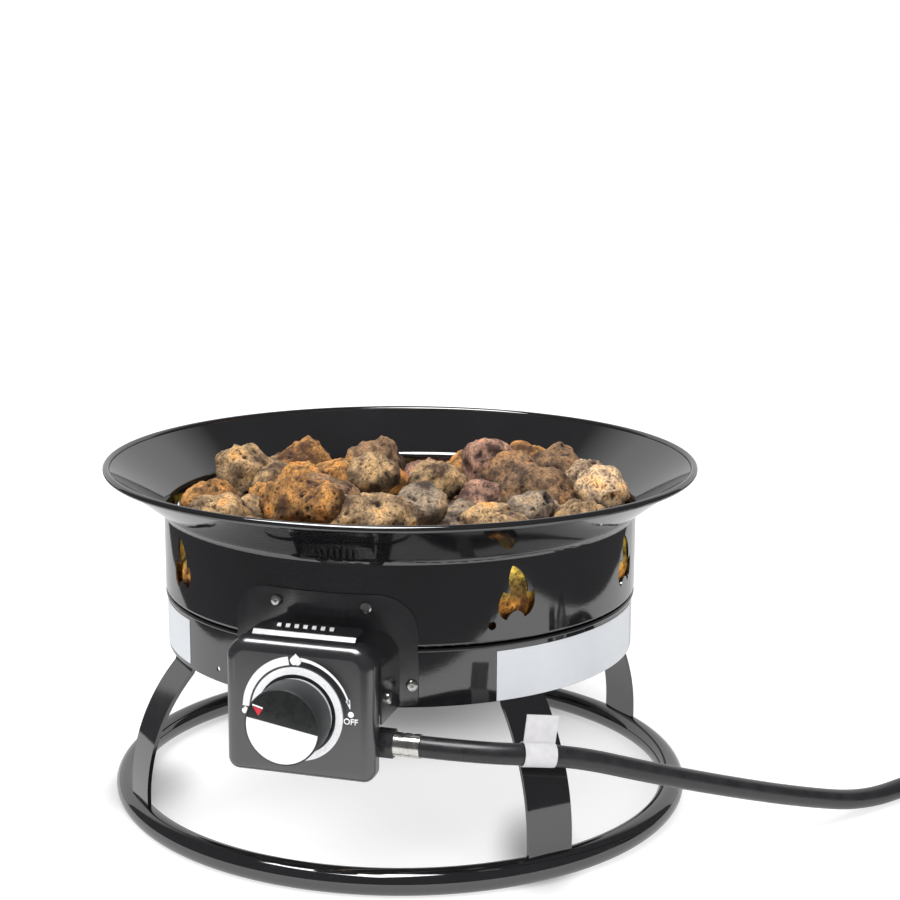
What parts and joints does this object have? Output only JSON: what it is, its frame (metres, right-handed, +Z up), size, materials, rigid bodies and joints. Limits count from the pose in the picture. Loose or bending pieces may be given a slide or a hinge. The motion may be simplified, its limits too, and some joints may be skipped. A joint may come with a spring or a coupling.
{
  "type": "portable gas fire pit",
  "caption": "Round pierced steel bowl of lava rock on a ring-footed stand, with a push-and-turn gas valve in a front box and a coiled rubber hose ending in a regulator.",
  "frame": {"origin": "on the floor under the bowl's axis", "axes": "+Z up, -Y towards the control box, +X to the side where the hose leaves"},
  "size_m": [0.9287, 0.5147, 0.2786],
  "materials": {
    "enamel": "gloss black enamel",
    "bracket_paint": "semi-gloss black paint",
    "pan_steel": "matt heat-proof black paint",
    "burner_steel": "dull stainless steel",
    "zinc": "bright zinc plate",
    "screw_steel": "bright plated screws",
    "brass": "turned brass",
    "bezel_metal": "satin silver plate",
    "knob_plastic": "satin dark grey plastic",
    "knob_print": "printed face, black above and white below, with a red pointer",
    "spring_steel": "drawn spring wire",
    "hose_rubber": "smooth black rubber",
    "nut_black": "black finished brass",
    "ferrule_metal": "crimped plated brass",
    "tag_film": "blank white film",
    "tie_band": "black strap",
    "regulator_metal": "die-cast grey",
    "cap_plastic": "black plastic",
    "coupling_plastic": "ribbed black plastic",
    "lava": "porous tan and brown stone"
  },
  "bodies": {
    "stand": {"base_ring": "enamel", "bowl": "enamel", "bowl_screws": "screw_steel", "bracket_screws": "screw_steel", "burner_locknut": "zinc", "burner_ring": "burner_steel", "control_panel": "enamel", "dial_bezel": "bezel_metal", "fire_pan": "pan_steel", "gas_jet": "brass", "hose_coil": "hose_rubber", "hose_ferrule": "ferrule_metal", "hose_nut": "nut_black", "hose_run": "hose_rubber", "hose_tag": "tag_film", "hose_tail": "hose_rubber", "hose_tie": "tie_band", "inlet_elbow": "brass", "inlet_nipple": "brass", "lava_rocks": "lava", "leg_back_left": "enamel", "leg_back_right": "enamel", "leg_front_left": "enamel", "leg_front_right": "enamel", "mixer_tube": "zinc", "nipple_seal": "hose_rubber", "panel_screws": "screw_steel", "regulator_body": "regulator_metal", "regulator_bonnet": "regulator_metal", "regulator_ferrule": "ferrule_metal", "support_band": "enamel", "valve_body": "brass", "valve_bracket": "bracket_paint", "valve_cover": "zinc", "valve_nut": "zinc", "vent_cap": "cap_plastic"},
    "valve_plug": {"valve_plug": "brass"},
    "knob": {"control_knob": "knob_plastic", "knob_face": "knob_print", "valve_stem": "zinc", "return_spring": "spring_steel"},
    "coupling": {"coupling_nut": "coupling_plastic"}
  },
  "joints": [
    {"name": "knob_turn", "type": "hinge", "parent": "stand", "child": "valve_plug", "pos_m": [0, -0.217, 0.1397], "axis": [0, -1, 0], "range_deg": [-139.4, 40.6]},
    {"name": "knob_push", "type": "slide", "parent": "valve_plug", "child": "knob", "axis": [0, 1, 0], "range_m": [0, 0.0035], "stiffness_N_per_m": 1500, "deforming": ["return_spring"]},
    {"name": "coupling_spin", "type": "hinge", "parent": "stand", "child": "coupling", "pos_m": [0.65646, 0.03922, 0.0259], "axis": [0.0263, -0.9997, 0], "continuous": true}
  ]
}
